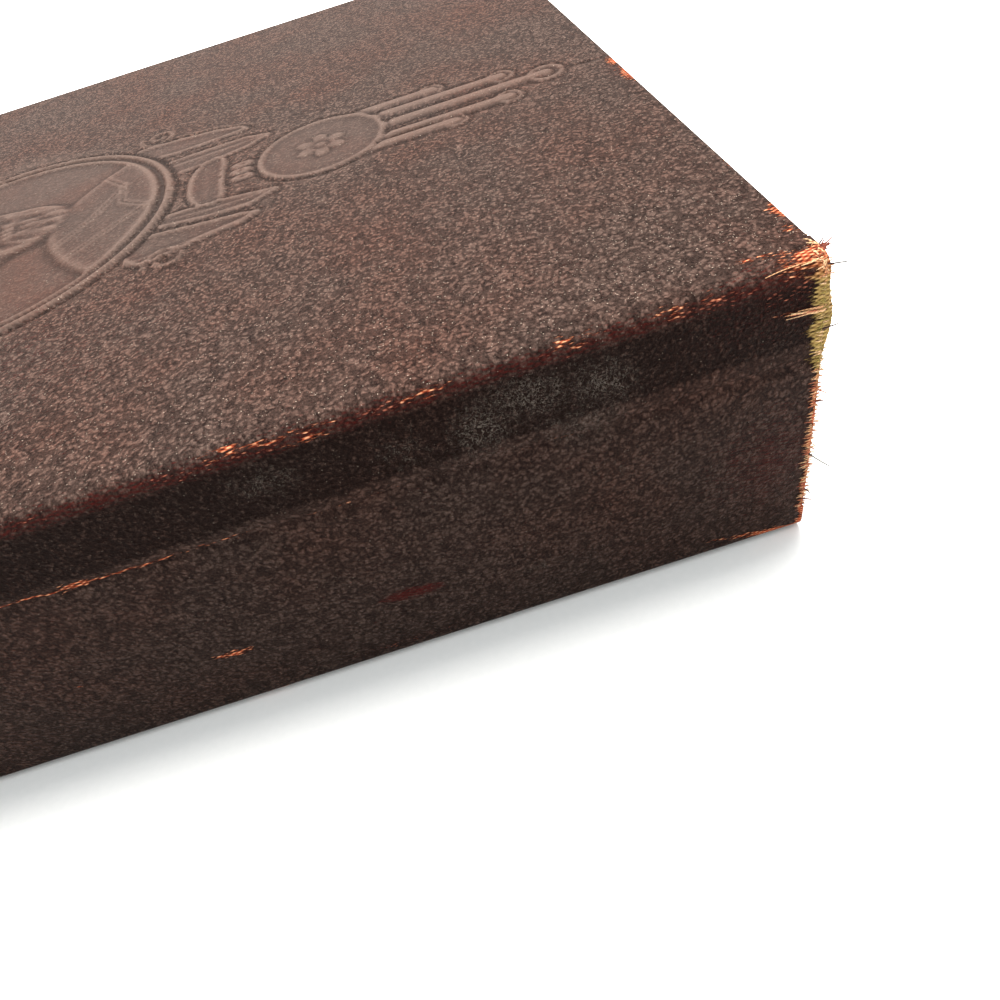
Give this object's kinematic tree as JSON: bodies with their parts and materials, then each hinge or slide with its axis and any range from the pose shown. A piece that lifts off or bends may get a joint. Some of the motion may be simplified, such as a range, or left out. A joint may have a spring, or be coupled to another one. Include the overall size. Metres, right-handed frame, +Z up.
{
  "type": "antique cloth-bound book",
  "caption": "Thick case-bound book with a hollow flat spine, tight cloth joints, overhanging board covers that swing open, sewn pages and endpapers.",
  "frame": {"origin": "middle of the closed book's footprint, on the surface that it lies on", "axes": "+X from the spine towards the fore edge, +Y from the tail towards the head, +Z up through the front cover"},
  "size_m": [0.18, 0.25, 0.05],
  "materials": {
    "book_cloth": "coated woven book cloth, pebble grained and blind stamped, satin sheen",
    "millboard": "grey-brown rolled board",
    "text_paper": "toned edges of sewn sheets",
    "endpaper": "plain toned endpaper",
    "lining_paper": "brown lining paper",
    "spine_card": "thin manila card",
    "gauze": "starched open gauze",
    "linen_tape": "woven linen tape",
    "linen_thread": "waxed linen thread",
    "band_cotton": "striped cotton band over a cord core"
  },
  "bodies": {
    "book_block": {"text_block": "text_paper", "rear_flyleaf": "endpaper", "front_flyleaf": "endpaper", "sewing_tapes": "linen_tape", "sewing_thread": "linen_thread", "mull": "gauze", "spine_lining": "lining_paper", "head_band": "band_cotton", "tail_band": "band_cotton", "spine_stiffener": "spine_card", "spine_cloth": "book_cloth"},
    "front_cover": {"front_board": "millboard", "front_cover_cloth": "book_cloth", "front_tape_slips": "linen_tape", "front_mull_flange": "gauze", "front_pastedown": "endpaper"},
    "back_cover": {"back_board": "millboard", "back_cover_cloth": "book_cloth", "back_tape_slips": "linen_tape", "back_mull_flange": "gauze", "back_pastedown": "endpaper"}
  },
  "joints": [
    {"name": "front_hinge", "type": "hinge", "parent": "book_block", "child": "front_cover", "pos_m": [-0.0879, 0, 0.0485], "axis": [0, -1, 0], "range_deg": [0, 175]},
    {"name": "back_hinge", "type": "hinge", "parent": "book_block", "child": "back_cover", "pos_m": [-0.0879, 0, 0.0015], "axis": [0, 1, 0], "range_deg": [0, 180]}
  ]
}
